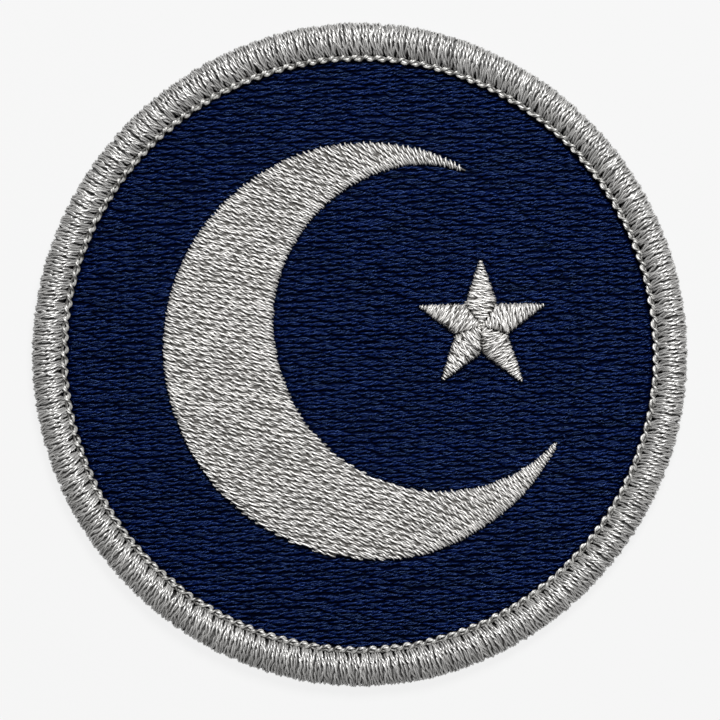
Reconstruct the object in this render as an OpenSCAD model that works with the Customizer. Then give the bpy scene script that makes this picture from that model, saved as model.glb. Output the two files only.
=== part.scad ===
// Round embroidered patch, lying on its back with its face up. A disc of ground
// cloth carries an all-over stitched fill, a raised crescent that opens towards +X
// and a five-armed satin star. A thick overlocked border wraps the cloth's rim and
// ends in a fine chain edge on the fill.
// Origin: the middle of the flat back. +Z is the face, +Y the top of the design.

/* [Patch] */
// Width of the patch from side to side, over the border
patch_d = 75.6; // [66:0.2:90]
// How much further the border stands out at the top and the bottom
border_swell = 0.5; // [0:0.1:1]

/* [Ground] */
// Thickness of the ground cloth
cloth_t = 1; // [0.9:0.05:1.6]
// Thickness of the cloth's rim, where the border squeezes it
rim_t = 0.55; // [0.4:0.05:0.7]
// Distance from the patch's outline in to the cloth's cut edge
rim_inset = 0.95; // [0.6:0.05:1.6]
// Thickness of the all-over stitched fill
fill_t = 0.4; // [0.2:0.05:0.8]
// How far the fill stops short of the cloth's cut edge
fill_inset = 0.5; // [0.2:0.1:2]

/* [Border] */
// Width of the border's roll on the face
roll_w = 3.55; // [2.8:0.05:4.5]
// Height of the roll's crown above the fill
roll_rise = 1.35; // [0.8:0.05:2]
// Number of thread tufts round the border
tufts = 162; // [120:6:180]
// Depth of the furrow between two tufts
tuft_relief = 0.16; // [0:0.02:0.3]
// How far the border's outer side turns in before it meets the back
side_r = 0.9; // [0.5:0.05:1.2]
// Thickness of the chain edge at the roll's foot
chain_d = 0.7; // [0.4:0.05:0.9]

/* [Crescent] */
// Radius of the crescent's outer edge
crescent_r = 24; // [18:0.25:27]
// Width of the crescent at its middle
crescent_w = 13.2; // [9:0.2:14]
// Height of the crescent above the fill
crescent_rise = 0.75; // [0.4:0.05:1.2]
// Width of the slope along the crescent's edges
crescent_slope_w = 1.2; // [0.6:0.1:2]
// Place of the crescent's outer circle to the right of the patch's middle
crescent_x = 1.4; // [-2:0.1:4]
// Place of the crescent's outer circle above the patch's middle
crescent_y = 0.45; // [-3:0.05:3]
// Direction in which the crescent opens, turned up from +X
crescent_angle_up = 20.5; // [0:0.5:30]
// Arc from the crescent's middle to its upper tip
upper_horn_angle = 138; // [125:0.5:142]
// Arc from the crescent's middle to its lower tip
lower_horn_angle = 133; // [120:0.5:140]

/* [Star] */
// Length of an arm from the star's middle to its tip
arm_l = 7.55; // [5:0.05:9]
// Distance from the star's middle to the notches between its arms
notch_r = 3; // [2:0.05:3.6]
// Width of an arm at its rounded tip
arm_tip_w = 0.55; // [0.3:0.05:1]
// Height of an arm's ridge above the fill
arm_rise = 0.9; // [0.5:0.05:1.4]
// Distance of the star's middle from the middle of the crescent's circle
star_reach = 12.95; // [11:0.05:15]
// Turn of the star's place from the crescent's direction
star_lean_angle = -7.5; // [-15:0.5:5]
// Turn of the star's top arm from upright
star_angle = 0.5; // [-10:0.5:10]

/* [Clearances] */
// Gap between two pieces that lie on or beside each other
seam_gap = 0.05; // [0.03:0.01:0.1]

/* [Hidden] */

// Radii from the patch's middle
patch_r = patch_d / 2;
cloth_r = patch_r - rim_inset;
fill_r = cloth_r - fill_inset;
foot_r = patch_r - roll_w;
leg_r = foot_r - seam_gap;
chain_r = foot_r - seam_gap - chain_d / 2;

// Heights from the flat back
rim_z = cloth_t - rim_t;
fill_z = cloth_t + seam_gap;
face_z = fill_z + fill_t;
sewn_z = face_z + seam_gap;

// Steps round the cross-section of the roll and of its outer side
roll_steps = 6;
side_steps = 2;

// The crescent's outline: share of the way from its middle to a tip, then the width as a
// share of crescent_w and the outer edge as a share of crescent_r, for each horn
ALONG = 0;
UPPER_WIDTH = 1;
UPPER_EDGE = 2;
LOWER_WIDTH = 3;
LOWER_EDGE = 4;
crescent_table = [
    [0,     1,     0.994, 1,     0.994],
    [0.15,  0.99,  1.003, 0.98,  0.997],
    [0.3,   0.905, 1.004, 0.912, 0.995],
    [0.45,  0.778, 1.005, 0.803, 1.001],
    [0.55,  0.662, 1.005, 0.703, 1.007],
    [0.65,  0.53,  1.007, 0.575, 1.011],
    [0.73,  0.4,   1.002, 0.44,  1.004],
    [0.8,   0.288, 0.999, 0.325, 1.002],
    [0.87,  0.175, 0.996, 0.21,  1.003],
    [0.92,  0.112, 0.993, 0.133, 1],
    [0.95,  0.078, 0.99,  0.085, 0.999],
    [0.975, 0.054, 0.986, 0.048, 0.998],
    [1,     0.022, 0.981, 0.022, 0.998]
];
horn_steps = 25;     // stations from the crescent's middle to each tip
horn_crowding = 1.5; // above 1, the stations lie closer towards the tips
horn_full_w = 3;     // a horn narrower than this is also lower
horn_low = 0.45;     // height of a horn's very tip as a share of crescent_rise
slope_steps = 3;
edge_low = 0.3;      // height of the crescent's edges as a share of its crown

// Length of each star arm as a share of arm_l, from the top arm on, clockwise
arm_shares = [0.99, 0.975, 1.01, 1.015, 0.98];
arm_half = 180 / len(arm_shares); // angle between an arm's axis and its notches
arm_start = 0.1;                  // share of the notch's distance at which an arm's solid starts
arm_steps = 4;                    // stations on each side of an arm's widest place
arm_middle_low = 0.6;             // height of the ridge at the star's middle, as a share of arm_rise
arm_tip_low = 0.6;                // the same at the arm's tip
// Cross-section of an arm: share of its half width, and share of the ridge's height
arm_section = [[1, 0.35], [0.6, 0.8], [0, 1], [-0.6, 0.8], [-1, 0.35]];

// Joins a row of rings of points into one solid. Seen along the row, a ring's points go
// from left over the top to the right. The ends are closed, or with looped the last ring
// is joined to the first.
module loft(rings, looped = false) {
    n = len(rings[0]);
    m = len(rings);
    sides = [for (i = [0 : m - (looped ? 1 : 2)], j = [0 : n - 1])
        let (here = i * n, next = ((i + 1) % m) * n, k = (j + 1) % n)
        each [[here + j, next + j, next + k], [here + j, next + k, here + k]]];
    ends = looped ? [] : [[for (j = [0 : n - 1]) j], [for (j = [n - 1 : -1 : 0]) (m - 1) * n + j]];
    polyhedron([for (ring = rings) each ring], concat(sides, ends), convexity = 8);
}

// Value in one column of a table at a place along it
function column_at(table, column, along) =
    lookup(along, [for (row = table) [row[ALONG], row[column]]]);

// Radius of the border's outline in the direction a
function outline_r(a) = patch_r + border_swell * pow(sin(a), 6);

// Cross-section of the border as radius and height: the roll's crown from its foot out to
// the rim, the outer side down to the back, the leg under the cloth, and the slot in which
// the cloth's rim and the fill lie. relief draws the skin in towards the roll's middle.
function border_section(a, relief) =
    let (half_w = (outline_r(a) - foot_r) / 2,
         mid_r = foot_r + half_w,
         slot_r = cloth_r + seam_gap,
         slot_low = rim_z - seam_gap)
    concat(
        [for (i = [0 : roll_steps])
            let (t = 180 * i / roll_steps)
            [mid_r - (half_w - relief) * cos(t), sewn_z + (roll_rise - seam_gap - relief) * sin(t)]],
        [for (i = [1 : side_steps])
            let (t = 90 * i / side_steps)
            [outline_r(a) - side_r * (1 - cos(t)) - relief * cos(t), sewn_z * (1 - sin(t))]],
        [[leg_r, 0], [leg_r, slot_low], [slot_r, slot_low], [slot_r, sewn_z]]);

// Turns a cross-section of radii and heights to the direction a
function swung(section, a) = [for (p = section) [p[0] * cos(a), p[0] * sin(a), p[1]]];

// Cross-section of the crescent at a signed share of the way along it: below 0 towards the
// upper tip, above 0 towards the lower one
function crescent_section(share) =
    let (upper = share < 0,
         along = abs(share),
         width = crescent_w * column_at(crescent_table, upper ? UPPER_WIDTH : LOWER_WIDTH, along),
         outer = crescent_r * column_at(crescent_table, upper ? UPPER_EDGE : LOWER_EDGE, along),
         slope = min(crescent_slope_w, width / 2),
         crown = crescent_rise * (horn_low + (1 - horn_low) * min(1, width / horn_full_w)),
         edge = crown * edge_low,
         inner_side = [for (i = [0 : slope_steps])
             let (t = 90 * i / slope_steps)
             [outer - width + slope * (1 - cos(t)), face_z + edge + (crown - edge) * sin(t)]],
         outer_side = [for (i = [slope_steps : -1 : 0])
             let (t = 90 * i / slope_steps)
             [outer - slope * (1 - cos(t)), face_z + edge + (crown - edge) * sin(t)]])
    concat([[outer - width, sewn_z]], inner_side, outer_side, [[outer, sewn_z]]);

// Direction of the crescent's cross-section, seen from its outer circle's middle
function crescent_angle(share) =
    crescent_angle_up + 180 + share * (share < 0 ? upper_horn_angle : lower_horn_angle);

// Cross-section of an arm that points along +X, at the distance x from the star's middle
function arm_ring(x, length) =
    let (notch_x = notch_r * cos(arm_half),
         notch_y = notch_r * sin(arm_half),
         side_gap = seam_gap / 2 / cos(arm_half),
         before = x <= notch_x,
         out = (x - notch_x) / (length - notch_x),
         half_w = before ? x * tan(arm_half) - side_gap
                         : (notch_y - side_gap) * (1 - out) + arm_tip_w / 2 * out,
         ridge = arm_rise * (before ? arm_middle_low + (1 - arm_middle_low) * x / notch_x
                                    : 1 - (1 - arm_tip_low) * out))
    concat([[x, half_w, sewn_z]],
           [for (p = arm_section) [x, p[0] * half_w, face_z + ridge * p[1]]],
           [[x, -half_w, sewn_z]]);

// Ground cloth: a flat disc whose rim is squeezed thin from below, so that the border's
// threads lie level with the cloth's back
module ground_cloth() {
    color("#2a3350")
    rotate_extrude($fn = 180)
    polygon([[0, 0], [leg_r - seam_gap, 0], [leg_r - seam_gap, rim_z], [cloth_r, rim_z],
             [cloth_r, cloth_t], [0, cloth_t]]);
}

// All-over fill of parallel stitches: it covers the cloth and runs out under the border
module field_fill() {
    color("#101c4a")
    translate([0, 0, fill_z])
    cylinder(r = fill_r, h = fill_t, $fn = 180);
}

// Border: a roll of overlocked tufts with a furrow between each two
module border() {
    color("#a9abad")
    loft([for (i = [0 : 2 * tufts - 1])
        let (a = 180 * i / tufts)
        swung(border_section(a, i % 2 == 0 ? 0 : tuft_relief), a)],
        looped = true);
}

// Chain edge: the cord in which the border's threads lock together at the roll's foot
module chain_edge() {
    color("#c9cbcd")
    translate([0, 0, sewn_z + chain_d / 2])
    rotate_extrude($fn = 180)
    translate([chain_r, 0])
    circle(d = chain_d, $fn = 24);
}

// Crescent: a padded fill with sloped edges and pointed horns
module crescent() {
    shares = [for (i = [-horn_steps : horn_steps])
        sign(i) * (1 - pow(1 - abs(i) / horn_steps, horn_crowding))];
    color("#a2a4a6")
    translate([crescent_x, crescent_y, 0])
    loft([for (share = shares) swung(crescent_section(share), crescent_angle(share))]);
}

// One satin arm of the star: widest between its notches, with a ridge along its middle
module star_arm(index) {
    length = arm_l * arm_shares[index];
    notch_x = notch_r * cos(arm_half);
    places = concat(
        [for (i = [0 : arm_steps]) notch_x * (arm_start + (1 - arm_start) * i / arm_steps)],
        [for (i = [1 : arm_steps]) notch_x + (length - notch_x) * i / arm_steps]);
    place_turn = crescent_angle_up + star_lean_angle;
    color("#a2a4a6")
    translate([crescent_x + star_reach * cos(place_turn), crescent_y + star_reach * sin(place_turn), 0])
    rotate(90 + star_angle - 2 * arm_half * index)
    loft([for (x = places) arm_ring(x, length)]);
}

ground_cloth();
field_fill();
border();
chain_edge();
crescent();
for (i = [0 : len(arm_shares) - 1])
    star_arm(i);
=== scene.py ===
import math

import bpy
import numpy as np
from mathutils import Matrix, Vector


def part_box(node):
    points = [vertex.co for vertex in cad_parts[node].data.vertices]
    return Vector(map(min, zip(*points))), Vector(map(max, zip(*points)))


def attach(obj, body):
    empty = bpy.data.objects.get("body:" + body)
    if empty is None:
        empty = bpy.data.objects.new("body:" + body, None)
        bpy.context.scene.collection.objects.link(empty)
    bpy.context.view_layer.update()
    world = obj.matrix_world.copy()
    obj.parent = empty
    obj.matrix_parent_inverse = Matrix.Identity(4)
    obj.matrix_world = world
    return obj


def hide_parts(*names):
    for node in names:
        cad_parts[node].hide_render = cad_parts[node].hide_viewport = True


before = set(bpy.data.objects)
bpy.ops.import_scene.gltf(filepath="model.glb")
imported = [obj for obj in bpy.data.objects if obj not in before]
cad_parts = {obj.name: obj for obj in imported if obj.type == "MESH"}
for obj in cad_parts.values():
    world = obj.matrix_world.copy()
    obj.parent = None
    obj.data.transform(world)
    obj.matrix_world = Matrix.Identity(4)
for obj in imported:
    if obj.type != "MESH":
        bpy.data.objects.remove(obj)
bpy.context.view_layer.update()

# A round embroidered patch that lies face up. Every length below is in millimetres and
# becomes metres where a mesh is made. Every thread on its face, in the fill, the crescent,
# the star, the border and the chain, is a real one: two round plies twisted together.

mm = 0.001
rng = np.random.default_rng(38)  # one seed, so that each run gives the same threads
anyPhase = (0, 6.28)  # range of a random phase, in radians


def boxOf(node):
    low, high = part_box(node)
    return np.array(low) / mm, np.array(high) / mm


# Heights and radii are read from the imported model, so the threads lie where its solids are.
fillHigh = boxOf("field_fill")[1]
borderHigh = boxOf("border")[1]
chainLow, chainHigh = boxOf("chain_edge")
clothHigh = boxOf("ground_cloth")[1]
crescentLow = boxOf("crescent")[0]

faceZ = fillHigh[2]          # top of the fill
sewnZ = crescentLow[2]       # what is sewn on the fill starts here
crownZ = borderHigh[2]       # top of the border's roll
sideR = borderHigh[0]        # the border's outline at the sides
topR = borderHigh[1]         # and at the top, where it stands out a little further
chainD = chainHigh[2] - chainLow[2]
clothR = clothHigh[0]
clothT = clothHigh[2]


# Colours and materials

# sRGB hex to the linear values that the shaders use.
def linear(hexColour):
    parts = [int(hexColour[i:i + 2], 16) / 255 for i in (1, 3, 5)]
    return [c / 12.92 if c <= 0.04045 else ((c + 0.055) / 1.055) ** 2.4 for c in parts] + [1.0]


# Adds one node with its settings, and links named inputs from other nodes' outputs.
def node(tree, kind, settings=None, values=None, links=None):
    made = tree.nodes.new(kind)
    for key, value in (settings or {}).items():
        setattr(made, key, value)
    for key, value in (values or {}).items():
        made.inputs[key].default_value = value
    for key, source in (links or {}).items():
        tree.links.new(source, made.inputs[key])
    return made


# A new material and its emptied tree of nodes.
def emptyMaterial(name):
    material = bpy.data.materials.new(name)
    material.use_nodes = True
    material.node_tree.nodes.clear()
    return material, material.node_tree


# The colour at the place source, from 0 to 1, between two others.
def blend(tree, source, first, last):
    ramp = node(tree, "ShaderNodeValToRGB", None, None, {"Fac": source})
    ramp.color_ramp.elements[0].color = first
    ramp.color_ramp.elements[1].color = last
    return ramp.outputs["Color"]


# Ends a material with its shader and its output.
def shaded(material, values, links):
    tree = material.node_tree
    shader = node(tree, "ShaderNodeBsdfPrincipled", None, values, links)
    node(tree, "ShaderNodeOutputMaterial", None, None, {"Surface": shader.outputs["BSDF"]})
    return material


# Thread: a smooth filament yarn, whose gloss lies across its fibres. Its colour holds painted
# shade: it is painted darker where it goes down between its neighbours and lighter along its
# top (crest), each thread differs a little (tint), and a fine streak runs along it. Its place
# between dark and light is crest * height + middle + streak * noise + tint * the thread's own number.
def threadMaterial(name, look):
    material, tree = emptyMaterial(name)
    tint = node(tree, "ShaderNodeAttribute", {"attribute_name": "tint"})
    crest = node(tree, "ShaderNodeAttribute", {"attribute_name": "crest"})
    along = node(tree, "ShaderNodeUVMap", {"uv_map": "threadUV"})
    stretch = node(tree, "ShaderNodeMapping", None, {"Scale": look["streakScale"]},
                   {"Vector": along.outputs["UV"]})
    streak = node(tree, "ShaderNodeTexNoise", None, {"Scale": 1.0, "Detail": 2.0, "Roughness": 0.6},
                  {"Vector": stretch.outputs["Vector"]})
    # painted shade and light: the colour falls with the crest height, low between threads, high on top
    paintedShading = node(tree, "ShaderNodeMath", {"operation": "MULTIPLY_ADD"},
                {1: look["crest"], 2: look["middle"]}, {0: crest.outputs["Fac"]})
    shade = node(tree, "ShaderNodeMath", {"operation": "MULTIPLY_ADD"}, {1: look["streak"]},
                 {0: streak.outputs["Fac"], 2: paintedShading.outputs[0]})
    both = node(tree, "ShaderNodeMath", {"operation": "MULTIPLY_ADD", "use_clamp": True},
                {1: look["tint"]}, {0: tint.outputs["Fac"], 2: shade.outputs[0]})
    colour = blend(tree, both.outputs[0], linear(look["dark"]), linear(look["light"]))
    bump = node(tree, "ShaderNodeBump", None, {"Strength": look["lineBump"], "Distance": 0.04 * mm},
                {"Height": streak.outputs["Fac"]})
    fibres = node(tree, "ShaderNodeTangent", {"direction_type": "UV_MAP", "uv_map": "threadUV"})
    return shaded(
        material,
        {"Roughness": look["roughness"], "IOR": 1.53, "Specular IOR Level": look["specular"],
         "Metallic": look["metallic"], "Specular Tint": linear(look["gloss"]),
         "Anisotropic": look["fibre"], "Anisotropic Rotation": 0.25},
        {"Base Color": colour, "Normal": bump.outputs["Normal"], "Tangent": fibres.outputs["Tangent"]})


# Plain matt layer under the threads: it only shows between them, darker, as painted shade.
def paddingShadeMaterial(name, hexColour):
    material, tree = emptyMaterial(name)
    place = node(tree, "ShaderNodeTexCoord")
    grain = node(tree, "ShaderNodeTexNoise", None, {"Scale": 900.0, "Detail": 3.0},
                 {"Vector": place.outputs["Object"]})
    colour = linear(hexColour)
    grainy = blend(tree, grain.outputs["Fac"], [0.6 * c for c in colour[:3]] + [1], colour)
    return shaded(material, {"Roughness": 0.9, "Specular IOR Level": 0.0}, {"Base Color": grainy})


# Rayon embroidery thread: bright filament yarn whose gloss takes the colour of its dye. The
# little metallic stands in for the many smooth filaments that mirror the light as satin does.
navyRayon = threadMaterial("navyRayonThread", dict(
    dark="#020510", light="#05123c", gloss="#7294da", tint=0.08, crest=0.75, middle=0.0,
    streak=0.6, streakScale=(1.6, 7.0, 1.0), lineBump=0.9, roughness=0.34, specular=0.42,
    metallic=0.0, fibre=0.8))
silverRayon = threadMaterial("silverRayonThread", dict(
    dark="#302d2a", light="#e2e0dd", gloss="#ffffff", tint=0.06, crest=0.8, middle=0.0,
    streak=0.6, streakScale=(0.9, 7.0, 1.0), lineBump=1.0, roughness=0.37, specular=0.95,
    metallic=0.18, fibre=0.8))
# Polyester overlock thread: textured filament, a little duller and cooler.
overlockPolyester = threadMaterial("overlockPolyesterThread", dict(
    dark="#2e2c2a", light="#c9c8c6", gloss="#ffffff", tint=0.08, crest=0.6, middle=-0.18,
    streak=0.9, streakScale=(1.0, 8.0, 1.0), lineBump=0.7, roughness=0.38, specular=0.85,
    metallic=0.4, fibre=0.85))
# The same thread in darker copies, which are painted shade: where it is pulled tight in the
# chain, and, darker still, where it lies in the dark under the roll.
chainShadedCopy = threadMaterial("overlockThreadChainShade", dict(
    dark="#272522", light="#acaba8", gloss="#ffffff", tint=0.1, crest=0.6, middle=-0.1,
    streak=0.8, streakScale=(0.8, 7.0, 1.0), lineBump=0.8, roughness=0.42, specular=0.65,
    metallic=0.3, fibre=0.8))
underlayShadedCopy = threadMaterial("overlockThreadUnderlayShade", dict(
    dark="#141312", light="#b5b4b2", gloss="#ffffff", tint=0.0, crest=0.6, middle=0.05,
    streak=0.5, streakScale=(0.8, 6.0, 1.0), lineBump=0.4, roughness=0.5, specular=0.2,
    metallic=0.0, fibre=0.5))
# Cotton and polyester stitching that pads what lies on it, coloured darker as painted shade.
navyPaddingShade = paddingShadeMaterial("navyUnderlayShade", "#040a22")
greyPaddingShade = paddingShadeMaterial("greyUnderlayShade", "#5c5a57")
palePaddingShade = paddingShadeMaterial("paleUnderlayShade", "#8f8d8a")
print("materials made")


# Meshes

# Puts points in millimetres, four-sided and three-sided faces, a UV for each corner and a
# tint and a crest height for each point into a new object, and shades it smooth.
def makePiece(name, surface, material):
    points, quads, tris, quadUV, triUV, tint, crest = surface
    mesh = bpy.data.meshes.new(name)
    loops = np.concatenate([quads.ravel(), tris.ravel()]).astype(np.int32)
    starts = np.concatenate([np.arange(len(quads)) * 4, len(quads) * 4 + np.arange(len(tris)) * 3])
    mesh.vertices.add(len(points))
    mesh.vertices.foreach_set("co", (points * mm).astype(np.float32).ravel())
    mesh.loops.add(len(loops))
    mesh.loops.foreach_set("vertex_index", loops)
    mesh.polygons.add(len(starts))
    mesh.polygons.foreach_set("loop_start", starts.astype(np.int32))
    mesh.polygons.foreach_set("use_smooth", np.full(len(starts), True))
    mesh.update(calc_edges=True)
    uvLayer = mesh.uv_layers.new(name="threadUV")
    uvLayer.data.foreach_set("uv", np.concatenate([quadUV.ravel(), triUV.ravel()]).astype(np.float32))
    for layer, values in (("tint", tint), ("crest", crest)):
        mesh.attributes.new(layer, "FLOAT", "POINT").data.foreach_set("value", values.astype(np.float32))
    mesh.materials.append(material)
    piece = bpy.data.objects.new(name, mesh)
    bpy.context.collection.objects.link(piece)
    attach(piece, "root")
    print(name, "triangles", 2 * len(quads) + len(tris))
    return piece


def unit(v):
    return v / np.maximum(np.linalg.norm(v, axis=-1, keepdims=True), 1e-9)


# Directions at each point of some paths: along it, to its side and up from it.
def pathFrame(paths, up=(0.0, 0.0, 1.0)):
    along = unit(np.gradient(paths, axis=1))
    side = unit(np.cross(np.broadcast_to(up, paths.shape), along))
    return along, side, np.cross(along, side)


# Length run along each path up to each of its points, from 0.
def runAlong(paths):
    stepLength = np.linalg.norm(np.diff(paths, axis=1), axis=2)
    return np.concatenate([np.zeros((len(paths), 1)), np.cumsum(stepLength, 1)], 1)


# The four corners of a face in a grid of points, as steps along and round. The order of
# the two names says which way a face looks.
corners = ((0, 0), (0, 1), (1, 1), (1, 0))


# Tubes: point = path + radius (side cos v + up sin v). Both ends close on one point each.
# paths is threads by steps by 3, and all the tubes are worked out at once. high is how far
# each path point lies above the middle of its thread, and reach the thread's half height.
def tubes(paths, radius, sides, tint, up, startShift, high, reach):
    count, steps = paths.shape[:2]
    along, side, lift = pathFrame(paths, up)
    v = np.linspace(0, 2 * np.pi, sides, endpoint=False) - np.pi / 2
    radius = np.broadcast_to(radius, (count, steps))[..., None]
    around = side[:, :, None] * np.cos(v)[:, None] + lift[:, :, None] * np.sin(v)[:, None]
    rings = paths[:, :, None] + radius[..., None] * around
    firstPole = paths[:, 0] - along[:, 0] * radius[:, 0] / 2
    lastPole = paths[:, -1] + along[:, -1] * radius[:, -1] / 2
    poles = np.stack([firstPole, lastPole], 1)
    points = np.concatenate([rings.reshape(count, -1, 3), poles], 1)
    high = np.broadcast_to(high, (count, steps))
    # crest: each point's height over its thread's middle, which the material turns into painted shade
    crest = (high[..., None] + radius * np.sin(v)) / reach
    crest = np.concatenate([crest.reshape(count, -1), high[:, [0, -1]] / reach], 1)
    s, k = np.meshgrid(np.arange(steps - 1), np.arange(sides), indexing="ij")
    quad = np.stack([(s + far) * sides + (k + beside) % sides for far, beside in corners],
                    -1).reshape(-1, 4)
    ring = np.arange(sides)
    first = steps * sides
    last = (steps - 1) * sides
    tri = np.concatenate([
        np.stack([np.full(sides, first), (ring + 1) % sides, ring], -1),
        np.stack([np.full(sides, first + 1), last + ring, last + (ring + 1) % sides], -1)])
    base = (np.arange(count) * (first + 2))[:, None, None]
    run = runAlong(paths) + startShift
    uv = [np.stack(np.broadcast_arrays(run[:, s + far], (k + beside) / sides), -1)
          for far, beside in corners]
    quadUV = np.stack(uv, -2).reshape(count, -1, 4, 2)
    triUV = np.zeros((count, 2 * sides, 3, 2))
    return (points.reshape(-1, 3), (quad[None] + base).reshape(-1, 4), (tri[None] + base).reshape(-1, 3),
            quadUV.reshape(-1, 4, 2), triUV.reshape(-1, 3, 2), np.repeat(tint, first + 2), crest.ravel())


# What all threads share: the length of their wander, how thin a ply gets where its thread is
# drawn in, and how far apart the streaks of two threads may start.
habit = dict(wanderLength=(1.3, 2.6), thin=0.6, streakStart=50)
padRoot = 0.1  # how far the padding under raised stitches reaches down into the fill


# A thread of two plies that wind round its path: path + wide side cos a + tall up sin a, and
# the same with a minus, where a falls by one turn each twist length and wanders a little.
# spread draws both plies in and thins them, and the painted-shading offset darkens the thread
# (painted shade), or lightens it where it is negative (painted light).
def yarn(paths, look, spread=1.0, paintedShading=0.0, up=(0.0, 0.0, 1.0)):
    count, steps = paths.shape[:2]
    side, lift = pathFrame(paths, up)[1:]
    run = runAlong(paths)
    one = (count, 1)
    wave = 2 * np.pi * run / rng.uniform(*habit["wanderLength"], one) + rng.uniform(*anyPhase, one)
    wander = look["wander"] * np.sin(wave)
    phase = rng.uniform(0, 2 * np.pi, one)
    winding = look["hand"] * 2 * np.pi * run / rng.uniform(*look["twist"], one)
    a = phase + winding + wander
    spread = np.broadcast_to(spread, (count, steps))
    wide = look["wide"] * spread * np.cos(a)
    high = look["tall"] * np.sin(a)
    swing = side * wide[..., None] + lift * high[..., None]
    up = up if np.ndim(up) == 1 else np.tile(up, (2, 1, 1))
    paintedShading = np.tile(np.broadcast_to(paintedShading, (count, steps)), (2, 1))
    radius = np.tile(look["ply"] * (habit["thin"] + (1 - habit["thin"]) * spread), (2, 1))
    tint = np.tile(rng.normal(0, 1, count), 2)
    startShift = np.tile(rng.uniform(0, habit["streakStart"], one), (2, 1))
    return tubes(np.concatenate([paths + swing, paths - swing]), radius, look["sides"], tint, up, startShift,
                 np.concatenate([high, -high]) - paintedShading, look["ply"] + look["tall"])


# Places along a stitch from 0 to 1, a little closer together near its two holes.
def stitchPlaces(steps):
    even = np.linspace(0, 1, steps + 1)
    return 0.65 * even + 0.35 * (0.5 - 0.5 * np.cos(np.pi * even))


# Threads close over the holes beside them: each point moves sideways towards the holes near
# it, by pull times offset / reach times a bell exp(-distance squared / 2 reach squared).
def gather(paths, holes, pull, reach):
    side = pathFrame(paths)[1][..., :2]
    points = paths[..., :2].reshape(-1, 2)
    move = np.zeros_like(points)
    for block in np.array_split(np.arange(len(points)), 1 + len(points) * len(holes) // 2000000):
        apart = holes[None, :, :2] - points[block, None]
        bell = np.exp(-(apart ** 2).sum(-1) / (2 * reach ** 2))
        move[block] = (apart * bell[..., None]).sum(1)
    sideways = (move.reshape(side.shape) * side).sum(-1) * pull / reach
    moved = paths.copy()
    moved[..., :2] += side * sideways[..., None]
    return moved


# Rings of points skinned to one closed surface, as a loft: looped joins the last ring to the
# first, and otherwise each end closes on its middle point.
def skin(rings, looped):
    m, n = rings.shape[:2]
    rows = m if looped else m - 1
    i, j = np.meshgrid(np.arange(rows), np.arange(n), indexing="ij")
    quad = np.stack([(i + far) % m * n + (j + beside) % n for beside, far in corners], -1).reshape(-1, 4)
    points = rings.reshape(-1, 3)
    tri = np.zeros((0, 3), int)
    if not looped:
        points = np.concatenate([points, rings[0].mean(0)[None], rings[-1].mean(0)[None]])
        ring = np.arange(n)
        tri = np.concatenate([
            np.stack([np.full(n, m * n), ring, (ring + 1) % n], -1),
            np.stack([np.full(n, m * n + 1), (m - 1) * n + (ring + 1) % n, (m - 1) * n + ring], -1)])
    quadUV = np.stack([np.stack([i + far, j + beside], -1) for beside, far in corners],
                      -2).reshape(-1, 4, 2)
    return (points, quad, tri, quadUV * 1.0, np.zeros((len(tri), 3, 2)), np.zeros(len(points)),
            np.zeros(len(points)))


# Points at a radius and an angle round the patch's middle, and at a height.
def polar(r, angle, z):
    return np.stack([r * np.cos(angle), r * np.sin(angle), np.broadcast_to(z, r.shape)], -1)


# A section of radii and heights swung round the patch's middle in some steps.
def swung(section, steps):
    angle = np.linspace(0, 2 * np.pi, steps, endpoint=False)[:, None]
    return polar(np.broadcast_to(section[:, 0], (steps, len(section))), angle, section[:, 1])


# A line smoothed over some of its steps. how says how it goes on past its ends.
def smoothed(line, over, **how):
    kernel = np.hanning(over) / np.hanning(over).sum()
    return np.convolve(np.pad(line, over // 2, **how), kernel, mode="valid")


# Padding from its top points straight down to its root in the fill, as rings.
def padUnder(top):
    bottom = top[:, ::-1].copy()
    bottom[..., 2] = faceZ - padRoot
    return np.concatenate([top, bottom], 1)


def smoothStep(x):
    x = np.clip(x, 0, 1)
    return x * x * (3 - 2 * x)


# The crescent's outline

# Share of the way from the crescent's middle to a tip, and there the width and the outer
# edge's radius, as shares of width and radius, for the upper and the lower horn.
crescentShape = dict(
    radius=24.0, width=13.2, centre=(1.4, 0.45), middleAngle=200.5, upperArc=138.0, lowerArc=133.0,
    rise=0.75, slope=1.2, edgeHeight=0.25, hornFullWidth=3.0, hornLow=0.45,
    along=(0, 0.15, 0.3, 0.45, 0.55, 0.65, 0.73, 0.8, 0.87, 0.92, 0.95, 0.975, 1),
    upperWidth=(1, 0.99, 0.905, 0.778, 0.662, 0.53, 0.4, 0.288, 0.175, 0.112, 0.078, 0.054, 0.022),
    upperEdge=(0.994, 1.003, 1.004, 1.005, 1.005, 1.007, 1.002, 0.999, 0.996, 0.993, 0.99, 0.986, 0.981),
    lowerWidth=(1, 0.98, 0.912, 0.803, 0.703, 0.575, 0.44, 0.325, 0.21, 0.133, 0.085, 0.048, 0.022),
    lowerEdge=(0.994, 0.997, 0.995, 1.001, 1.007, 1.011, 1.004, 1.002, 1.003, 1, 0.999, 0.998, 0.998))


# Width and outer radius at a signed share of the way along, below 0 towards the upper tip.
def crescentAt(share):
    c = crescentShape
    return [np.where(share < 0, np.interp(np.abs(share), c["along"], c["upper" + what]),
                     np.interp(np.abs(share), c["along"], c["lower" + what])) * c[full]
            for what, full in (("Width", "width"), ("Edge", "radius"))]


def crescentAngle(share):
    c = crescentShape
    return np.radians(c["middleAngle"] + share * np.where(share < 0, c["upperArc"], c["lowerArc"]))


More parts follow.
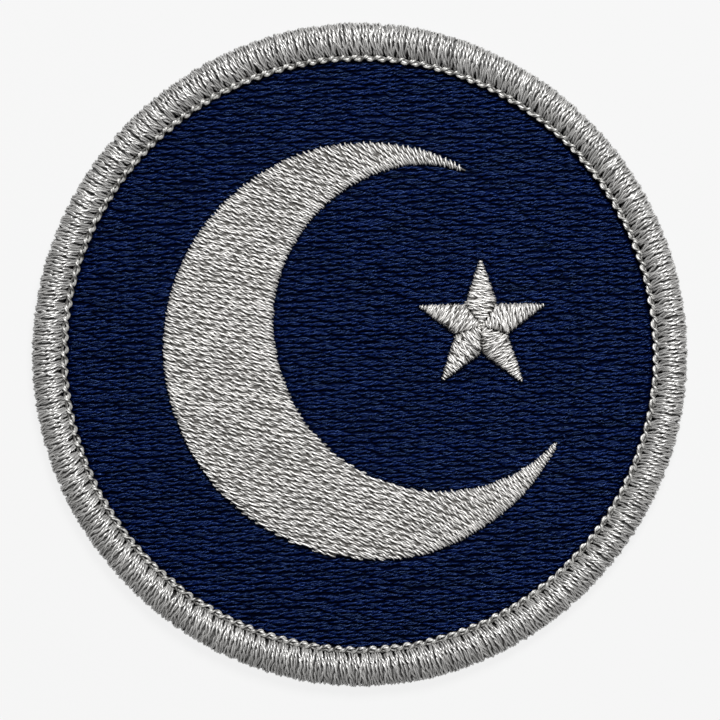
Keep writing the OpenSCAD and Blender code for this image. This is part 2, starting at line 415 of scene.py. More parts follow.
# For points of the face: how far inside the crescent's edges they are (negative outside),
# and the height of its crown there. The crown is flat, with a slope of a quarter ellipse
# that starts at edgeHeight of its height, and it gets lower where a horn gets narrow.
def crescentField(x, y):
    c = crescentShape
    dx = x - c["centre"][0]
    dy = y - c["centre"][1]
    r = np.hypot(dx, dy)
    turn = np.mod(np.degrees(np.arctan2(dy, dx)) - c["middleAngle"] + 180, 360) - 180
    share = np.where(turn < 0, turn / c["upperArc"], turn / c["lowerArc"])
    width, outer = crescentAt(np.clip(share, -1, 1))
    inside = np.minimum(outer - r, r - (outer - width))
    inside = np.where(np.abs(share) > 1, -np.abs(r - outer) - 0.1, inside)
    slope = np.minimum(c["slope"], np.maximum(width / 2, 0.1))
    crown = c["rise"] * (c["hornLow"] + (1 - c["hornLow"]) * np.minimum(1, width / c["hornFullWidth"]))
    near = np.clip(inside / slope, 0, 1)
    return inside, crown * (c["edgeHeight"] + (1 - c["edgeHeight"]) * np.sqrt(1 - (1 - near) ** 2))


# The star's outline

# Reach of an arm and, in shares, how each arm differs from it. ridgeLow is the ridge's share
# of its full height at the star's middle and at a tip.
starShape = dict(
    centre=(14.0, 3.3), arms=5, turn=90.5, arm=7.55, notch=3.2, tipWidth=0.3, rise=0.9, ridgeLow=0.6,
    shares=(1.015, 1.012, 1.053, 1.025, 0.985))


# Length of an arm, and its direction: arm 0 points up and the others follow clockwise.
def armOf(index):
    s = starShape
    return s["arm"] * s["shares"][index], math.radians(s["turn"] - 360 / s["arms"] * index)


# Points given along an arm, across it and upwards, put in their place on the face.
def onArm(index, x, y, z):
    turn = armOf(index)[1]
    centreX, centreY = starShape["centre"]
    return np.stack([centreX + x * math.cos(turn) - y * math.sin(turn),
                     centreY + x * math.sin(turn) + y * math.cos(turn), z], -1)


# Half width of an arm and height of its ridge at the distance x from the star's middle.
def armAt(x, length):
    s = starShape
    half = math.radians(180 / s["arms"])
    notchX = s["notch"] * math.cos(half)
    notchY = s["notch"] * math.sin(half)
    out = (x - notchX) / (length - notchX)
    halfWidth = np.where(x < notchX, x * math.tan(half), notchY * (1 - out) + s["tipWidth"] / 2 * out)
    fall = 1 - s["ridgeLow"]
    ridge = np.where(x < notchX, s["ridgeLow"] + fall * x / notchX, 1 - fall * out)
    return halfWidth, s["rise"] * ridge


# How far inside the star's edges points of the face are, negative outside.
def starField(x, y):
    s = starShape
    dx = x - s["centre"][0]
    dy = y - s["centre"][1]
    best = np.full(np.shape(x), -99.0)
    for index in range(s["arms"]):
        length, turn = armOf(index)
        out = dx * math.cos(turn) + dy * math.sin(turn)
        across = np.abs(dy * math.cos(turn) - dx * math.sin(turn))
        halfWidth = armAt(np.clip(out, 0, length), length)[0]
        inside = np.where(out < 0, -np.hypot(dx, dy), np.minimum(halfWidth - across, length - out))
        best = np.maximum(best, inside)
    return best


# Ground cloth: twill disc, seen only from behind

clothBack = dict(innerR=0.02, legR=34.15, rimZ=0.45, steps=180, weave=0.45)


# Polyester twill seen from behind: fine diagonal ribs, a rib each weave length. The wave
# texture repeats each 0.314 m at scale 1.
def clothMaterial():
    material, tree = emptyMaterial("polyesterTwillBack")
    place = node(tree, "ShaderNodeTexCoord")
    turned = node(tree, "ShaderNodeMapping", None, {"Rotation": (0, 0, math.radians(40))},
                  {"Vector": place.outputs["Object"]})
    ribs = node(tree, "ShaderNodeTexWave", {"bands_direction": "X"},
                {"Scale": 0.314 / (clothBack["weave"] * mm), "Distortion": 0.8, "Detail": 2.0},
                {"Vector": turned.outputs["Vector"]})
    colour = blend(tree, ribs.outputs["Fac"], linear("#0d1638"), linear("#27345f"))
    bump = node(tree, "ShaderNodeBump", None, {"Strength": 0.6, "Distance": 0.05 * mm},
                {"Height": ribs.outputs["Fac"]})
    return shaded(material, {"Roughness": 0.8, "Specular IOR Level": 0.3},
                  {"Base Color": colour, "Normal": bump.outputs["Normal"]})


# The cloth's outline in radius and height, swung round: flat back, squeezed rim, flat top.
def makeCloth():
    c = clothBack
    section = np.array([
        (c["innerR"], 0.0), (12, 0.0), (24, 0.0), (c["legR"] - 0.4, 0.0), (c["legR"], 0.08),
        (c["legR"] + 0.05, c["rimZ"]), (clothR, c["rimZ"]), (clothR + 0.02, 0.7),
        (clothR, clothT), (20, clothT), (c["innerR"], clothT)])
    return makePiece("groundCloth", skin(swung(section, c["steps"]), True), clothMaterial())


# Field: all-over fill of navy stitches

fieldStitches = dict(
    reach=33.75, pitch=0.4, stitch=3.3, brick=-1 / 3, cuts=11, cutShift=0.16, shortest=0.5, turn=1.2,
    steps=12, sides=3, ply=0.112, wide=0.105, tall=0.115, hand=-1, twist=(1.6, 2.2), wander=0.8,
    sink=0.28, sinkRun=0.6, sinkShade=0.6, narrow=0.75, thread=0.16, sway=0.07, wave=0.07, uneven=0.04,
    pull=0.12, pullReach=0.3, edgeDropAndShadow=0.22, pulledReach=0.22, hidden=0.7,
    padTop=-0.38, padBottom=-0.4, padSteps=120)


# Row i lies at i times the pitch and is cut into stitches, each row's cuts moved on by a
# third of a stitch as in brickwork. A stitch runs straight between its two holes and dives
# at both. All rows and cuts are one array of stitches.
def fieldPaths():
    f = fieldStitches
    lastRow = math.floor(f["reach"] / f["pitch"])
    rows = np.arange(-lastRow, lastRow + 1)[:, None]
    cuts = np.arange(-f["cuts"], f["cuts"] + 2)
    v = np.broadcast_to(rows * f["pitch"], (len(rows), len(cuts) - 1))
    half = np.sqrt(np.maximum(f["reach"] ** 2 - v ** 2, 0.01))
    jitter = rng.normal(0, f["cutShift"], (len(rows), len(cuts)))
    edge = (cuts + f["brick"] * (rows % 3)) * f["stitch"] + jitter
    u0 = np.maximum(edge[:, :-1], -half)
    u1 = np.minimum(edge[:, 1:], half)
    kept = u1 - u0 > f["shortest"]
    v, u0, u1 = v[kept], u0[kept], u1[kept]
    t = stitchPlaces(f["steps"])
    u = u0[:, None] + (u1 - u0)[:, None] * t
    tilt = rng.normal(0, f["sway"], (len(v), 2))
    bow = rng.normal(0, f["wave"], (len(v), 1))
    vv = v[:, None] + tilt[:, :1] * (1 - t) + tilt[:, 1:] * t + bow * np.sin(np.pi * t)
    toEnd = np.minimum(u - u0[:, None], u1[:, None] - u)
    dive = (1 - np.clip(toEnd / f["sinkRun"], 0, 1)) ** 2
    lift = rng.normal(0, f["uneven"], (len(v), 1))
    z = faceZ - f["thread"] + lift - f["sink"] * dive
    turn = math.radians(f["turn"])
    x = u * math.cos(turn) - vv * math.sin(turn)
    y = u * math.sin(turn) + vv * math.cos(turn)
    # what lies wholly under the crescent or the star is left out
    inCrescent, _ = crescentField(x, y)
    inStar = starField(x, y)
    shown = (inCrescent.min(1) < f["hidden"]) & (inStar.min(1) < f["hidden"])
    # the ground is drawn down along the edges of what is sewn on it, and painted darker there as a painted
    # shadow
    away = np.maximum(-np.maximum(inCrescent, inStar), 0)
    edgeDropAndShadow = f["edgeDropAndShadow"] * np.exp(-(away / f["pulledReach"]) ** 2)
    z = z - edgeDropAndShadow
    paths = np.stack([x, y, z], -1)[shown]
    spread = (1 - f["narrow"] * dive)[shown]
    # painted shade: darker at the holes and along those edges, lighter where a stitch lies higher
    paintedShading = (f["sinkShade"] * f["sink"] * dive + edgeDropAndShadow - lift)[shown]
    return gather(paths, paths[:, 0], f["pull"], f["pullReach"]), spread, paintedShading


def makeField():
    f = fieldStitches
    innerR, outerR = clothBack["innerR"], fillHigh[0]
    section = np.array([(innerR, f["padBottom"]), (outerR, f["padBottom"]),
                        (outerR, f["padTop"]), (innerR, f["padTop"])])
    section[:, 1] += faceZ
    pad = makePiece("fieldUnderlay", skin(swung(section, f["padSteps"]), True), navyPaddingShade)
    paths, spread, paintedShading = fieldPaths()
    upper = paths[:, 0, 1] > np.median(paths[:, 0, 1])
    pieces = [pad]
    for name, part in (("fieldStitchesUpper", upper), ("fieldStitchesLower", ~upper)):
        pieces.append(makePiece(name, yarn(paths[part], f, spread[part], paintedShading[part]), navyRayon))
    for piece in pieces:
        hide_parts("field_fill")


# Crescent: padded fill in turning rows

crescentStitches = dict(
    pitch=0.385, stitch=3.45, cutNumbers=(-30, 40), cutShift=0.2, endShift=0.06, endMost=0.1,
    shortest=0.9, steps=13, sides=4, ply=0.106, wide=0.118, tall=0.115, hand=1, twist=(1.8, 2.5),
    wander=0.5, sink=0.52, sinkRun=0.6, sinkShade=0.6, narrow=0.85, endRun=0.35, endDrop=0.22,
    thread=0.16, sway=0.03, uneven=0.02, pull=0.12, pullReach=0.3, padInset=0.16, padInsetShare=0.3,
    padBelow=0.28, padSteps=121, seam=(-17.0, 0.3), bodyTurn=-13.5, lowerBrick=0.362, upperBrick=0.388,
    # the lower rows' fine steps, how many of them a bend is smoothed over, and their numbers
    lowerReach=24, lowerPoints=1400, lowerSmooth=121, lowerNumbers=(-30, 67), lowerMeanTurn=16,
    # the upper rows' half length and fine steps, and the shares of their horn that they cross
    upperReach=14, upperPoints=1401, upperShares=(-0.02, -0.995, 3000), inside=0.02,
    # where the upper horn begins, and the fewest fine steps that a row has
    hornX=4, hornY=2, lowerLeast=4, upperLeast=12,
    # direction of the rows by the place to the right, for the body and the lower horn
    lowerX=(-24, -7, -1, 5, 8, 11, 17, 23), lowerTurn=(-13.5, -13.5, -15, -20, -26, -31, -36, -34),
    # and by the angle round the crescent's circle, for the upper horn
    upperAngle=(62, 70, 76, 82, 90, 98, 105, 125, 150, 200),
    upperTurn=(-70, -62, -54, -43, -34, -27, -22, -17, -13.5, -13.5))


# Runs of points that lie inside the crescent, along one row: pairs of first and last.
def insideRuns(inside):
    marks = np.diff(np.concatenate([[0], inside.astype(int), [0]]))
    return list(zip(np.flatnonzero(marks == 1), np.flatnonzero(marks == -1) - 1))


# Rows of the body and the lower horn: copies of one curve y = c + F(x), whose slope follows
# lowerTurn, moved down step by step.
def lowerRows():
    c = crescentStitches
    x = np.linspace(-c["lowerReach"], c["lowerReach"], c["lowerPoints"])
    slope = np.tan(np.radians(np.interp(x, c["lowerX"], c["lowerTurn"])))
    slope = smoothed(slope, c["lowerSmooth"], mode="edge")
    curve = np.concatenate([[0], np.cumsum(0.5 * (slope[1:] + slope[:-1]) * np.diff(x))])
    curve -= np.interp(c["seam"][0], x, curve)
    arc = np.concatenate([[0], np.cumsum(np.hypot(np.diff(x), np.diff(curve)))])
    arc -= np.interp(c["seam"][0], x, arc)
    step = c["pitch"] / math.cos(math.radians(c["lowerMeanTurn"]))
    rows = []
    for number in range(*c["lowerNumbers"]):
        y = c["seam"][1] - number * step + curve
        inside, _ = crescentField(x, y)
        for first, last in insideRuns(inside > c["inside"]):
            middle = x[(first + last) // 2]
            aboveSeam = number < 0 and middle < c["hornX"]
            onUpperHorn = y[first] > c["hornY"] and middle > c["hornX"]
            if aboveSeam or onUpperHorn or last - first < c["lowerLeast"]:
                continue
            rows.append((number * c["lowerBrick"], x[first:last + 1], y[first:last + 1], arc[first]))
    return rows


# Rows of the upper half: straight lines through the middle of the horn, turning with it and
# spaced so that they lie one pitch apart.
def upperRows():
    c = crescentStitches
    share = np.linspace(*c["upperShares"])
    angle = crescentAngle(share)
    width, outer = crescentAt(share)
    middle = polar(outer - width / 2, angle, 0)[:, :2] + crescentShape["centre"]
    turn = np.radians(np.interp(np.degrees(angle), c["upperAngle"], c["upperTurn"]))
    across = np.stack([-np.sin(turn), np.cos(turn)], -1)
    progress = np.concatenate([[0], np.cumsum((np.diff(middle, axis=0) * across[1:]).sum(1))])
    bodyTurn = math.radians(c["bodyTurn"])
    away = ((middle - c["seam"]) * (-math.sin(bodyTurn), math.cos(bodyTurn))).sum(1)
    seamPlace = progress[np.argmax(away > 0)]
    rows = []
    reach = np.linspace(-c["upperReach"], c["upperReach"], c["upperPoints"])
    centre = c["upperPoints"] // 2
    for number, place in enumerate(np.arange(seamPlace + c["pitch"], progress.max(), c["pitch"])):
        at = np.argmax(progress > place)
        x = middle[at, 0] + reach * math.cos(turn[at])
        y = middle[at, 1] + reach * math.sin(turn[at])
        inside, _ = crescentField(x, y)
        for first, last in insideRuns(inside > c["inside"]):
            if first <= centre <= last and last - first > c["upperLeast"]:
                alongX = (x[first] - c["seam"][0]) * math.cos(turn[at])
                start = alongX + (y[first] - c["seam"][1]) * math.sin(turn[at])
                rows.append((-(number + 1) * c["upperBrick"], x[first:last + 1], y[first:last + 1], start))
    return rows


# Cuts each row into stitches of equal steps. The cuts move on from row to row, and a stitch
# follows the crescent's crown, dives at its holes and wraps down at the row's two ends.
def crescentPaths():
    c = crescentStitches
    t = stitchPlaces(c["steps"])
    half = (c["steps"] + 1) // 2
    found = []
    dives = []
    lifts = []
    for shift, x, y, start in lowerRows() + upperRows():
        run = np.concatenate([[0], np.cumsum(np.hypot(np.diff(x), np.diff(y)))])
        total = run[-1]
        cuts = (np.arange(*c["cutNumbers"]) + shift % 1) * c["stitch"] - start
        cuts += rng.normal(0, c["cutShift"], len(cuts))
        ends = rng.normal(0, c["endShift"], 2)
        cuts = cuts[(cuts > c["shortest"]) & (cuts < total - c["shortest"])]
        cuts = np.concatenate([[min(ends[0], c["endMost"])], cuts, [total + max(ends[1], -c["endMost"])]])
        s = cuts[:-1, None] + np.diff(cuts)[:, None] * t
        sway = rng.normal(0, c["sway"], (len(s), 1)) + rng.normal(0, c["sway"], (len(s), 1)) * (2 * t - 1)
        direction = math.atan2(y[-1] - y[0], x[-1] - x[0])
        sx = np.interp(s, run, x) - sway * math.sin(direction)
        sy = np.interp(s, run, y) + sway * math.cos(direction)
        toHole = np.minimum(s - s[:, :1], s[:, -1:] - s)
        dive = (1 - np.clip(toHole / c["sinkRun"], 0, 1)) ** 2
        # a row's two ends wrap down over its edges instead
        dive[0, :half] = 0
        dive[-1, -half:] = 0
        _, crown = crescentField(sx, sy)
        lift = rng.normal(0, c["uneven"], (len(s), 1))
        z = faceZ + crown - c["thread"] - c["sink"] * dive + lift
        edge = np.minimum(s, total - s)
        z -= c["endDrop"] * (1 - np.clip(edge / c["endRun"], 0, 1)) ** 2
        found.append(np.stack([sx, sy, z], -1))
        dives.append(dive)
        lifts.append(lift)
    paths = np.concatenate(found)
    dive = np.concatenate(dives)
    paths = gather(paths, paths[:, 0][dive[:, 0] > 0.5], c["pull"], c["pullReach"])
    # the last value is painted shade: darker at the holes, lighter where a stitch lies higher
    return paths, 1 - c["narrow"] * dive, c["sinkShade"] * c["sink"] * dive - np.concatenate(lifts)


def makeCrescent():
    c = crescentStitches
    s = crescentShape
    share = np.sin(np.linspace(-1, 1, c["padSteps"]) * np.pi / 2)
    width, outer = crescentAt(share)
    inset = np.minimum(c["padInset"], width * c["padInsetShare"])
    across = np.array([0, 0.02, 0.08, 0.2, 0.5, 0.8, 0.92, 0.98, 1])
    r = (outer - width + inset)[:, None] + (width - 2 * inset)[:, None] * across
    angle = crescentAngle(share)[:, None]
    x = s["centre"][0] + r * np.cos(angle)
    y = s["centre"][1] + r * np.sin(angle)
    _, crown = crescentField(x, y)
    top = np.stack([x, y, faceZ + crown - c["padBelow"]], -1)
    pad = makePiece("crescentUnderlay", skin(padUnder(top), False), greyPaddingShade)
    paths, spread, paintedShading = crescentPaths()
    stitches = makePiece("crescentStitches", yarn(paths, c, spread, paintedShading), silverRayon)
    for piece in (pad, stitches):
        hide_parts("crescent")


# Star: five satin arms

# slant, depth and start are those of the lower and the upper layer, start for each arm in
# turn. Nearer to the tip than straight the stitches lean less and less.
starStitches = dict(
    pitch=0.36, steps=12, sides=5, ply=0.1, wide=0.115, tall=0.11, hand=1, twist=(1.7, 2.4), wander=0.5,
    slant=(4.0, 10.0), depth=(0.14, 0.0), short=0.12, least=0.04, thread=0.13, uneven=0.035, shift=0.03,
    start=((0.6, 1.0, 0.9, 1.0, 0.9), (0.15, 0.32, 0.28, 0.32, 0.28)), last=0.05, straight=4, tip=1.6,
    edge=0.45, middle=0.2, flat=3.2, endDrop=0.25, padInner=(-0.2, 2.43, 7), padOuter=2.8, padShort=0.1,
    padX=(0.5, 1.2, 1.6), padBelow=(0.1, 0.2, 0.28), padEdge=0.3,
    padNarrowX=(0.4, 1.0), padNarrow=(0.2, 0.03))


# A satin stitch crosses the arm from edge to edge over its ridge, each with a lean of its
# own. Its ends are found where its line meets the arm's edge. The crown starts at the share
# edge of the ridge's height, and middle higher where the arms meet. Threads thin out
# towards the tip and the star's middle.
def armPaths(index, layer):
    s = starShape
    c = starStitches
    length = armOf(index)[0]
    places = np.arange(c["start"][layer][index], length - c["last"], c["pitch"])
    places = places + rng.normal(0, c["shift"], len(places))
    lean = np.tan(np.radians(c["slant"][layer])) * rng.normal(0, 1, len(places))
    lean *= np.clip((length - places) / c["straight"], 0.2, 1)
    ends = []
    for toEdge in (-1, 1):
        y = armAt(np.abs(places), length)[0]
        for _ in range(4):
            y = armAt(np.clip(np.abs(places + toEdge * lean * y), 0.02, length), length)[0]
        half = np.maximum(y - c["short"], c["least"])
        ends.append(toEdge * half + rng.normal(0, c["shift"], len(places)))
    t = np.linspace(-1, 1, c["steps"] + 1)
    y = (ends[0] + ends[1])[:, None] / 2 + (ends[1] - ends[0])[:, None] / 2 * t
    x = places[:, None] + lean[:, None] * y
    ridge = armAt(np.abs(x), length)[1]
    lift = rng.normal(0, c["uneven"], (len(places), 1))
    edge = c["edge"] + c["middle"] * np.clip(1 - np.abs(x) / s["notch"], 0, 1)
    crown = ridge * (edge + (1 - edge) * np.sqrt(np.maximum(1 - np.abs(t) ** c["flat"], 0)))
    drop = c["endDrop"] * np.clip(np.abs(t) * 4 - 3, 0, 1) ** 2
    depth = c["depth"][layer]
    z = faceZ + crown - c["thread"] - depth - drop + lift
    spread = np.clip(np.minimum((length - places) / c["tip"], (places + 0.6) / 1.4), 0.35, 1)
    # the last value is painted shade: the lower layer darker, and a stitch that lies higher lighter
    return onArm(index, x, y, z), spread[:, None], depth - lift


def makeArm(index):
    c = starStitches
    length = armOf(index)[0]
    x = np.concatenate([np.linspace(*c["padInner"]), np.linspace(c["padOuter"], length - c["padShort"], 10)])
    halfWidth, ridge = armAt(x, length)
    t = np.array([1, 0.9, 0.6, 0.3, 0, -0.3, -0.6, -0.9, -1])
    narrowest = np.interp(x, c["padNarrowX"], c["padNarrow"])
    y = np.maximum(halfWidth - c["short"], narrowest)[:, None] * t
    bulge = np.sqrt(np.maximum(1 - np.abs(t) ** 2.2, 0))
    crown = ridge[:, None] * (c["padEdge"] + (1 - c["padEdge"]) * bulge)
    below = np.interp(x, c["padX"], c["padBelow"])[:, None]
    top = np.stack([np.broadcast_to(x[:, None], y.shape), y, faceZ + np.maximum(crown - below, 0.05)], -1)
    rings = padUnder(top)
    placed = onArm(index, rings[..., 0], rings[..., 1], rings[..., 2])
    pad = makePiece(f"starUnderlay{index + 1}", skin(placed, False), palePaddingShade)
    layers = [armPaths(index, layer) for layer in (0, 1)]
    paths, spread, paintedShading = [np.concatenate(part) for part in zip(*layers)]
    stitches = makePiece(f"starArm{index + 1}", yarn(paths, c, spread, paintedShading), silverRayon)
    for piece in (pad, stitches):
        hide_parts(f"star_arm_{index + 1}")


# Border: overlocked roll

borderRoll = dict(
    tufts=162, threads=4, footR=34.15, foot=0.3, sideIn=0.9, legR=34.3, proud=0.06, start=0.05,
    sides=4, ply=0.128, wide=0.095, tall=0.085, hand=-1, twist=(1.9, 2.8), wander=0.5,
    upSteps=22, outSteps=4, tuftShift=0.04, footShift=0.02, close=0.92, lean=0.03, tuftLean=0.22,
    wobble=0.04, waves=(3, 9), burst=0.12, uneven=0.05,
    # where the fan is open, how far round the crown it bursts, and the threads' width
    fanRun=0.52, fanPower=1.2, burstRun=0.16, footWidth=0.78, moreWidth=0.37,
    # how deep the threads and the dark core lie under the roll's skin
    inset=0.2, leastInset=0.16, footLow=0.14, sideLow=0.08, footInset=0.46, coreInset=0.38,
    coreDark=-1.4, coreLight=-0.15, footLight=0.03, coreSteps=360, coreLift=0.1, slotGap=0.08, slotZ=0.4,
    # a point inside the roll's section, which the winding plies face away from
    middleR=36.0, middleZ=1.2)


# The border's outline in the direction a: round, a little further out at the top and bottom.
def outlineR(angle):
    return sideR + borderRoll["proud"] + (topR - sideR) * np.sin(angle) ** 6


# The roll's skin at the place w along its section, from 0 at the foot over the crown (0.5)
# to the rim (1), down the outer side (2) and along the back to the leg's end (3): most of
# half an ellipse, a quarter ellipse and a straight line. inset moves it inwards.
def rollSkin(w, angle, inset):
    b = borderRoll
    w, angle, inset = np.broadcast_arrays(w, angle, inset)
    half = (outlineR(angle) - b["footR"]) / 2
    over = (b["start"] + (1 - b["start"]) * np.clip(w, 0, 1)) * np.pi
    r = b["footR"] + half - (half - inset) * np.cos(over)
    z = sewnZ + (crownZ - sewnZ - inset) * np.sin(over)
    down = np.clip(w - 1, 0, 1) * np.pi / 2
    r = np.where(w > 1, outlineR(angle) - inset - (b["sideIn"] - inset) * (1 - np.cos(down)), r)
    z = np.where(w > 1, inset + (sewnZ - inset) * (1 - np.sin(down)), z)
    back = np.clip(w - 2, 0, 1)
    r = np.where(w > 2, (outlineR(angle) - b["sideIn"]) * (1 - back) + b["legR"] * back, r)
    return r, np.where(w > 2, inset, z)


# Four threads leave each foot close together, cross a little as they fan out over the crown
# and lie side by side over the rim. Those in the middle of a tuft stand higher at its foot
# and its rim. A tuft leans counterclockwise on its way up, and each thread wobbles a little
# of its own. at is the place round the border in tufts, from the middle of the thread's own.
def strandPaths():
    b = borderRoll
    count = b["tufts"] * b["threads"]
    half = (b["threads"] - 1) / 2
    one = (count, 1)
    tuft = np.repeat(np.arange(b["tufts"]), b["threads"])
    place = np.tile(np.arange(b["threads"]) - half, b["tufts"])
    shift = rng.normal(0, b["tuftShift"], b["tufts"])[tuft]
    footAt = shift + b["foot"] * place / half + rng.normal(0, b["footShift"], count)
    rimAt = b["close"] * place / b["threads"] + rng.normal(0, b["lean"], count)
    up = np.linspace(0, 1, b["upSteps"] + 1)
    down = 1 + np.linspace(0, 1, b["outSteps"] + 1)[1:]
    w = np.concatenate([up, down, [2.5, 3.0]])[None]
    fan = np.clip(w / b["fanRun"], 0, 1) ** b["fanPower"]
    wobble = b["wobble"] * np.sin(rng.uniform(*b["waves"], one) * w + rng.uniform(*anyPhase, one))
    at = footAt[:, None] * (1 - fan) + rimAt[:, None] * fan
    at += b["tuftLean"] * (smoothStep(w / 0.6) - 0.5) + wobble * smoothStep(w / 0.3)
    at += b["burst"] * place[:, None] * np.exp(-((w - 0.5) / b["burstRun"]) ** 2)
    angle = (tuft[:, None] + at) * (2 * np.pi / b["tufts"])
    low = b["footLow"] * (1 - smoothStep(w / 0.45)) + b["sideLow"] * smoothStep((w - 0.6) / 0.5)
    inset = b["inset"] + (place[:, None] / half) ** 2 * low + rng.normal(0, b["uneven"], one) * (w < 2)
    r, z = rollSkin(w, angle, np.maximum(inset, b["leastInset"]))
    z = np.maximum(z, b["ply"] + b["tall"])
    risen = smoothStep(w / 0.5)
    spread = np.broadcast_to(b["footWidth"] + b["moreWidth"] * risen, r.shape)
    # painted light: the threads are painted a little lighter near the tuft's foot
    paintedShading = np.broadcast_to(-b["footLight"] * (1 - risen), r.shape)
    return polar(r, angle, z), spread, paintedShading


# The dark core under the threads: the roll's skin moved inwards, deepest at the foot, with a
# slot that the cloth's rim lies in. Its dark colour is painted shade between the threads.
def borderCore():
    b = borderRoll
    angles = np.linspace(0, 2 * np.pi, b["coreSteps"], endpoint=False)[:, None]
    w = np.concatenate([np.linspace(0, 1, 9), [1.35, 1.7, 2.0, 3.0]])[None]
    inset = b["coreInset"] + (b["footInset"] - b["coreInset"]) * (1 - smoothStep(w / 0.5))
    r, z = rollSkin(w, angles, inset)
    z[:, -1] = b["coreLift"]
    slot = clothR + b["slotGap"]
    r = np.concatenate([r, np.full((len(angles), 3), [b["legR"], slot, slot])], 1)
    z = np.concatenate([z, np.full((len(angles), 3), [b["slotZ"], b["slotZ"], sewnZ])], 1)
    rings = polar(r, angles, z)[:, ::-1]
    # painted shade: coreDark at the foot and in the slot, easing to coreLight over the crown
    dark = b["coreDark"] + (b["coreLight"] - b["coreDark"]) * smoothStep((w[0] - 0.2) / 0.4)
    crest = np.tile(np.concatenate([dark, [b["coreDark"]] * 3])[::-1], len(angles))
    return skin(rings, True)[:6] + (crest,)


def makeBorder():
    b = borderRoll
    pieces = [makePiece("borderUnderlay", borderCore(), underlayShadedCopy)]
    paths, spread, paintedShading = strandPaths()
    middle = unit(paths * [1, 1, 0]) * b["middleR"]
    middle[..., 2] = b["middleZ"]
    up = unit(paths - middle)
    half = len(paths) // 2
    for name, part in (("borderThreadsUpper", slice(0, half)), ("borderThreadsLower", slice(half, None))):
        threads = yarn(paths[part], b, spread[part], paintedShading[part], up[part])
        points = threads[0]
        points[:, 2] = np.maximum(points[:, 2], 0.0)  # pressed flat on the back
        pieces.append(makePiece(name, threads, overlockPolyester))
    for piece in pieces:
        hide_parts("border")


# Chain edge: interlocked loops

# One loop, by its place round the border in tufts from the middle of its own tuft's foot:
# it starts on top, bulges inwards and ends under the start of the next loop. rise is its
# height over the middle of the chain.
chainLoop = dict(
    at=(-0.34, -0.18, -0.02, 0.14, 0.32, 0.52, 0.72, 0.9, 1.06),
    radius=(34.34, 34.3, 34.21, 34.05, 33.91, 33.86, 33.92, 34.08, 34.2),
    rise=(0.0, 0.14, 0.18, 0.13, 0.06, 0.02, -0.02, -0.12, -0.2),
    # painted light and shade along the loop: lighter where it comes out on top, darker on its way under
    shade=(0.1, -0.2, -0.1, 0.25, 0.15, -0.3, -0.3, 0.25, 0.5),
    smoothPoints=60, smooth=13, steps=15, sides=5, ply=0.148, wide=0.1, tall=0.07, hand=-1,
    twist=(1.4, 2.0), wander=0.3, shift=0.08, shiftVary=0.04, uneven=0.02, centre=(0.06, 0.07),
    # the under thread's crest is one low value all along: painted shade under the loops
    underR=34.25, underPly=0.15, underRise=0.25, underShade=-0.15, underSteps=648, underTurns=130,
    underWind=0.07, underSway=0.05, underShift=0.1)


# Each loop follows its table, with a smooth line laid through it, at its own tuft.
def loopPaths():
    c = chainLoop
    tufts = borderRoll["tufts"]
    t = np.linspace(0, 1, c["smoothPoints"])
    smooth = []
    for column in ("at", "radius", "rise", "shade"):
        fine = np.interp(t, np.linspace(0, 1, len(c["at"])), c[column])
        rounded = smoothed(fine, c["smooth"], mode="reflect", reflect_type="odd")
        smooth.append(np.interp(np.linspace(0, 1, c["steps"]), t, rounded))
    at, r, rise, shade = smooth
    number = np.arange(tufts)[:, None]
    shift = c["shift"] + rng.normal(0, c["shiftVary"], (tufts, 1))
    angle = (number + at + shift) * 2 * np.pi / tufts
    r = r + rng.normal(0, c["uneven"], (tufts, 1))
    return polar(r, angle, chainLow[2] + chainD / 2 + rise) + (*c["centre"], 0), shade


# The under thread: a ring of two plies below the loops, between them and the tufts' feet,
# that is drawn in and out a little by each loop.
def underPaths():
    c = chainLoop
    theta = np.linspace(0, 2 * np.pi, c["underSteps"], endpoint=False)
    wave = borderRoll["tufts"] * (theta - c["underShift"])
    found = []
    for start in (0, np.pi):
        a = start - c["underTurns"] * theta
        r = c["underR"] + c["underSway"] * np.cos(wave) + c["underWind"] * np.cos(a)
        z = chainLow[2] + c["underRise"] + c["underWind"] * np.sin(a)
        found.append(polar(r, theta, z))
    return np.stack(found)


# Closed rings: as tubes, with the last step joined to the first.
def ringTubes(paths, radius, sides):
    count, steps = paths.shape[:2]
    along = unit(np.roll(paths, -1, 1) - np.roll(paths, 1, 1))
    side = unit(np.cross(np.broadcast_to((0.0, 0.0, 1.0), paths.shape), along))
    lift = np.cross(along, side)
    v = np.linspace(0, 2 * np.pi, sides, endpoint=False)
    around = side[:, :, None] * np.cos(v)[:, None] + lift[:, :, None] * np.sin(v)[:, None]
    rings = paths[:, :, None] + radius * around
    s, k = np.meshgrid(np.arange(steps), np.arange(sides), indexing="ij")
    quad = np.stack([(s + far) % steps * sides + (k + beside) % sides for far, beside in corners],
                    -1).reshape(-1, 4)
    base = (np.arange(count) * steps * sides)[:, None, None]
    length = np.linalg.norm(np.roll(paths, -1, 1) - paths, axis=2).mean()
    uv = np.stack([np.stack([(s + far) * length, (k + beside) / sides], -1) for far, beside in corners],
                  -2).reshape(-1, 4, 2)
    points = rings.reshape(-1, 3)
    return (points, (quad[None] + base).reshape(-1, 4), np.zeros((0, 3), int), np.tile(uv, (count, 1, 1)),
            np.zeros((0, 3, 2)), np.zeros(len(points)), np.full(len(points), chainLoop["underShade"]))


def makeChain():
    c = chainLoop
    paths, shade = loopPaths()
    loops = makePiece("chainEdge", yarn(paths, c, 1.0, shade), chainShadedCopy)
    under = makePiece("chainUnderThread", ringTubes(underPaths(), c["underPly"], c["sides"]), chainShadedCopy)
    for piece in (loops, under):
        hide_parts("chain_edge")


# Stage, light and camera

# The width and the centre of the view and the floor's gap are in millimetres. The camera's
# distance, the floor's size and the lamps' places and sizes are in metres.
studio = dict(
    frameMm=83.0, centre=(0.03, -0.63), distance=0.62, floor=3.0, floorGap=0.02, glow=0.849, ambient=0.1)


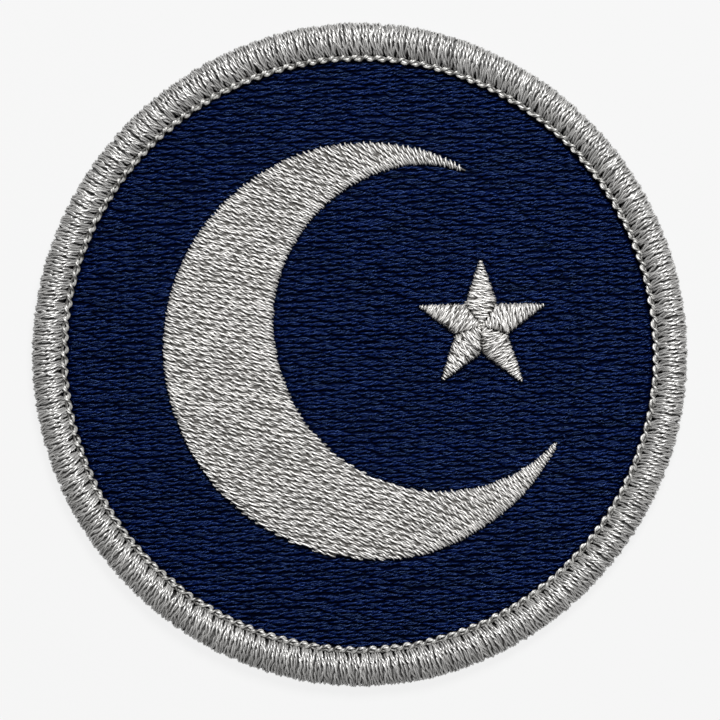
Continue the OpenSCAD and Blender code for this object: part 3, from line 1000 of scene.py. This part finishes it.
# The floor: pale matt paper that glows a little, so that the patch casts only a faint shadow.
def makeStage():
    mesh = bpy.data.meshes.new("paleFloor")
    half = studio["floor"] / 2
    low = -studio["floorGap"] * mm
    points = [(-half, -half, low), (half, -half, low), (half, half, low), (-half, half, low)]
    mesh.from_pydata(points, [], [(0, 1, 2, 3)])
    floor = bpy.data.objects.new("paleFloor", mesh)
    bpy.context.collection.objects.link(floor)
    material = bpy.data.materials.new("palePaper")
    material.use_nodes = True
    shader = material.node_tree.nodes["Principled BSDF"]
    paper = {"Base Color": linear("#3c3c3c"), "Roughness": 0.9, "Specular IOR Level": 0.1,
             "Emission Color": (1, 1, 1, 1), "Emission Strength": studio["glow"]}
    for key, value in paper.items():
        shader.inputs[key].default_value = value
    mesh.materials.append(material)


# A soft square lamp that shines at the patch.
def addLight(name, place, size, power):
    light = bpy.data.lights.new(name, "AREA")
    light.size = size
    light.energy = power
    lamp = bpy.data.objects.new(name, light)
    lamp.location = place
    lamp.rotation_euler = (-Vector(place)).to_track_quat("-Z", "Y").to_euler()
    bpy.context.collection.objects.link(lamp)


def makeStudio():
    world = bpy.data.worlds.new("studio")
    world.use_nodes = True
    world.node_tree.nodes["Background"].inputs["Color"].default_value = (1, 1, 1, 1)
    world.node_tree.nodes["Background"].inputs["Strength"].default_value = studio["ambient"]
    bpy.context.scene.world = world
    addLight("keyAbove", place=(0.12, 0.44, 0.66), size=0.3, power=10.3)
    addLight("overhead", place=(0.0, 0.0, 0.9), size=0.5, power=1.5)
    camera = bpy.data.cameras.new("camera")
    camera.sensor_width = 36.0
    camera.lens = 36.0 * (studio["distance"] - faceZ * mm) / (studio["frameMm"] * mm)
    camera.dof.use_dof = False
    eye = bpy.data.objects.new("camera", camera)
    eye.location = (studio["centre"][0] * mm, studio["centre"][1] * mm, studio["distance"])
    bpy.context.collection.objects.link(eye)
    bpy.context.scene.camera = eye
    bpy.context.scene.view_settings.view_transform = "Standard"


makeStudio()
makeStage()
cloth = makeCloth()
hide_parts("ground_cloth")
makeField()
makeCrescent()
for armIndex in range(starShape["arms"]):
    makeArm(armIndex)
makeBorder()
makeChain()
print("pieces made")
